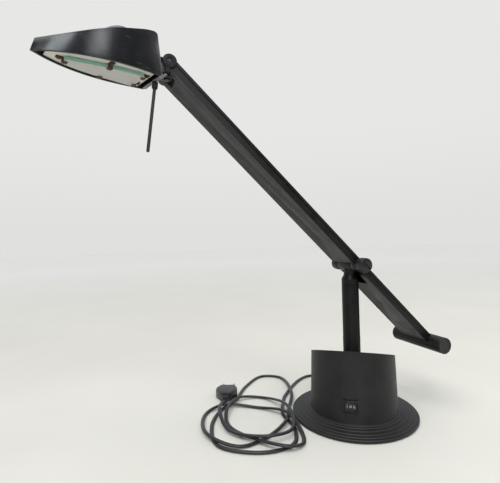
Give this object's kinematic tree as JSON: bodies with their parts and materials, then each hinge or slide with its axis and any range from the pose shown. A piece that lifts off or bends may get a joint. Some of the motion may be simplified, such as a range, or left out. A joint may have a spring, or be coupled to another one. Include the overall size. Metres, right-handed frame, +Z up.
{
  "type": "desk lamp",
  "caption": "Black architect desk lamp: stepped drum base, swivel post, tilting flat arm with cross-tube counterweight, wedge reflector head that tilts and turns, flat mains lead.",
  "frame": {"origin": "centre of the base's underside, on the surface the lamp stands on", "axes": "+Z up out of the base; -X is the side the arm and head reach to; -Y is the side of the clamp knob"},
  "size_m": [0.5419, 0.2803, 0.5045],
  "materials": {
    "rubber": "matt black rubber",
    "lead": "black flat two-core mains lead, soft satin PVC",
    "steel": "plain steel",
    "housing": "black moulded plastic, fine satin texture",
    "switch": "glossy black rocker with white marks",
    "iron": "rough cast iron and laminated steel",
    "copper": "lacquered copper winding",
    "ceramic": "white ceramic and nylon terminal body",
    "nylon": "grey nylon bearing",
    "black_paint": "satin black paint on metal, worn at the edges",
    "shell": "semi-gloss black moulding with light scuffs",
    "grey": "dusty grey cap and grey steel strip",
    "enamel": "off-white enamelled sheet",
    "glass": "greenish clear glass",
    "rusty_clip": "browned, rusty spring steel"
  },
  "bodies": {
    "base": {"base_pad": "rubber", "bottom_plate": "steel", "base_housing": "housing", "bottom_screw_1": "steel", "bottom_screw_2": "steel", "bottom_screw_3": "steel", "ballast_weight": "iron", "transformer_core": "iron", "transformer_coil": "copper", "terminal_block": "ceramic", "post_bush": "nylon", "switch_frame": "housing", "strain_relief": "rubber", "mains_cord": "lead", "plug_body": "housing", "plug_pin_1": "steel", "plug_pin_2": "steel"},
    "rocker": {"switch_rocker": "switch"},
    "post": {"post_tube": "black_paint", "post_head": "black_paint", "post_retaining_ring": "steel"},
    "arm": {"arm_channel": "black_paint", "arm_cover": "black_paint", "cover_screw_1": "steel", "cover_screw_2": "steel", "cover_screw_3": "steel", "pivot_collar_near": "black_paint", "pivot_collar_far": "black_paint", "friction_washer_near": "nylon", "friction_washer_far": "nylon", "pivot_bolt": "steel", "pivot_cap": "housing", "arm_cable": "rubber", "tail_tube": "black_paint", "tail_cap_near": "housing", "tail_cap_far": "housing", "tail_weight": "iron", "head_barrel_near": "black_paint", "head_barrel_far": "black_paint", "head_pin_near": "steel", "head_pin_far": "steel"},
    "knob": {"clamp_knob": "housing"},
    "tilt_block": {"barrel_middle": "black_paint"},
    "head": {"swivel_pin_upper": "steel", "swivel_pin_lower": "steel", "head_yoke": "steel", "head_shell": "shell", "vent_cap": "grey", "reflector_panel": "enamel", "glass_plate": "glass", "glass_clip_1": "rusty_clip", "glass_clip_2": "rusty_clip", "glass_clip_3": "rusty_clip", "glass_clip_4": "rusty_clip", "glass_clip_5": "rusty_clip", "lamp_holder": "ceramic", "halogen_lamp": "glass", "rear_strip": "grey", "handle_collar": "housing", "handle_rod": "black_paint"}
  },
  "joints": [
    {"name": "post_swivel", "type": "hinge", "parent": "base", "child": "post", "pos_m": [0, 0, 0.1], "axis": [0, 0, 1], "range_deg": [-150, 150]},
    {"name": "arm_tilt", "type": "hinge", "parent": "post", "child": "arm", "pos_m": [0, 0, 0.2203], "axis": [0, 1, 0], "range_deg": [-54, 13]},
    {"name": "knob_turn", "type": "hinge", "parent": "arm", "child": "knob", "pos_m": [0, -0.034, 0.2203], "axis": [0, 1, 0], "range_deg": [0, 270]},
    {"name": "head_tilt", "type": "hinge", "parent": "arm", "child": "tilt_block", "pos_m": [-0.26006, 0, 0.47355], "axis": [0, 1, 0], "range_deg": [-45, 60]},
    {"name": "head_yaw", "type": "hinge", "parent": "tilt_block", "child": "head", "pos_m": [-0.26006, 0, 0.47355], "axis": [-0.0117, 0, 0.9999], "range_deg": [-46, 2]},
    {"name": "switch_rock", "type": "hinge", "parent": "base", "child": "rocker", "pos_m": [-0.03593, -0.04517, 0.0349], "axis": [0, 0, 1], "range_deg": [-7, 7]}
  ]
}
